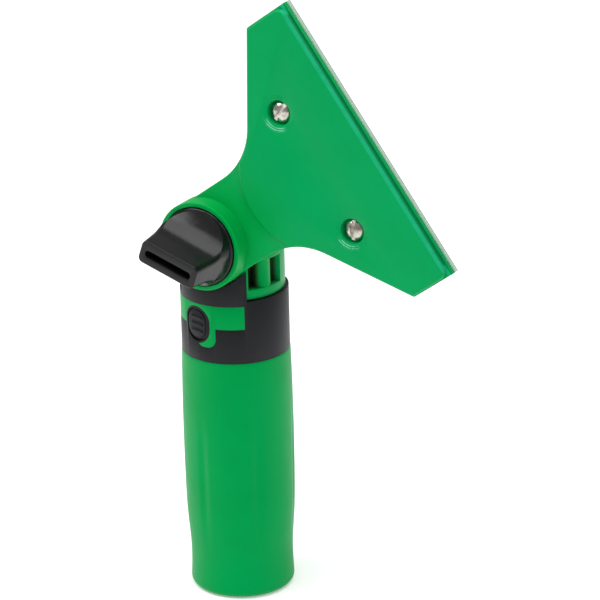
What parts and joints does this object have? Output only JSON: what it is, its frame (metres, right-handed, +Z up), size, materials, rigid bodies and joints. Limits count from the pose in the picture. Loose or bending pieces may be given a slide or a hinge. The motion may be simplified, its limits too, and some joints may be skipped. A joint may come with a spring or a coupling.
{
  "type": "window scraper with tilting head",
  "caption": "Hand or pole window scraper: steel blade in a flat flared head that tilts on a knob-clamped joint, on a hollow round grip with a lock button.",
  "frame": {"origin": "centre of the grip's open lower end", "axes": "+Z up along the grip, +Y along the head's tilt axis away from the knob, head tilted towards +X"},
  "size_m": [0.1086, 0.059, 0.2111],
  "materials": {
    "grip_green": "satin moulded",
    "head_green": "satin moulded",
    "collar_black": "satin moulded",
    "knob_black": "satin moulded",
    "socket_black": "plain moulded",
    "steel": "zinc plated",
    "blade_steel": "ground",
    "brass": "turned",
    "disc_fibre": "plain"
  },
  "bodies": {
    "handle": {"handle_core": "grip_green", "grip_sleeve": "grip_green", "pole_insert": "socket_black", "collar": "collar_black", "spigot": "socket_black", "spigot_screw": "steel", "knuckle": "head_green", "friction_disc": "disc_fibre", "pivot_bolt": "steel", "bolt_cap": "knob_black", "button_springs": "steel"},
    "button": {"lock_button": "collar_black", "latch_plate": "steel"},
    "scraper": {"head": "head_green", "blade": "blade_steel", "blade_clamp": "head_green", "clamp_screws": "steel", "clamp_nuts": "steel"},
    "washer": {"thrust_washer": "steel"},
    "knob": {"knob": "knob_black", "knob_insert": "brass"}
  },
  "joints": [
    {"name": "head_tilt", "type": "hinge", "parent": "handle", "child": "scraper", "pos_m": [0, -0.017, 0.1265], "axis": [0, 1, 0], "range_deg": [-109, 1]},
    {"name": "knob_travel", "type": "slide", "parent": "handle", "child": "washer", "axis": [0, -1, 0], "range_m": [0, 0.002]},
    {"name": "knob_turn", "type": "hinge", "parent": "washer", "child": "knob", "pos_m": [0, -0.03, 0.1265], "axis": [0, -1, 0], "range_deg": [0, 720]},
    {"name": "button_press", "type": "slide", "parent": "handle", "child": "button", "axis": [0.2419, 0.9703, 0], "range_m": [0, 0.002], "stiffness_N_per_m": 1200, "springref_m": -0.001, "deforming": ["button_springs"]}
  ],
  "couplings": [
    {"joint": "knob_turn", "follows": "knob_travel", "rad_per_m": 6283.2}
  ]
}
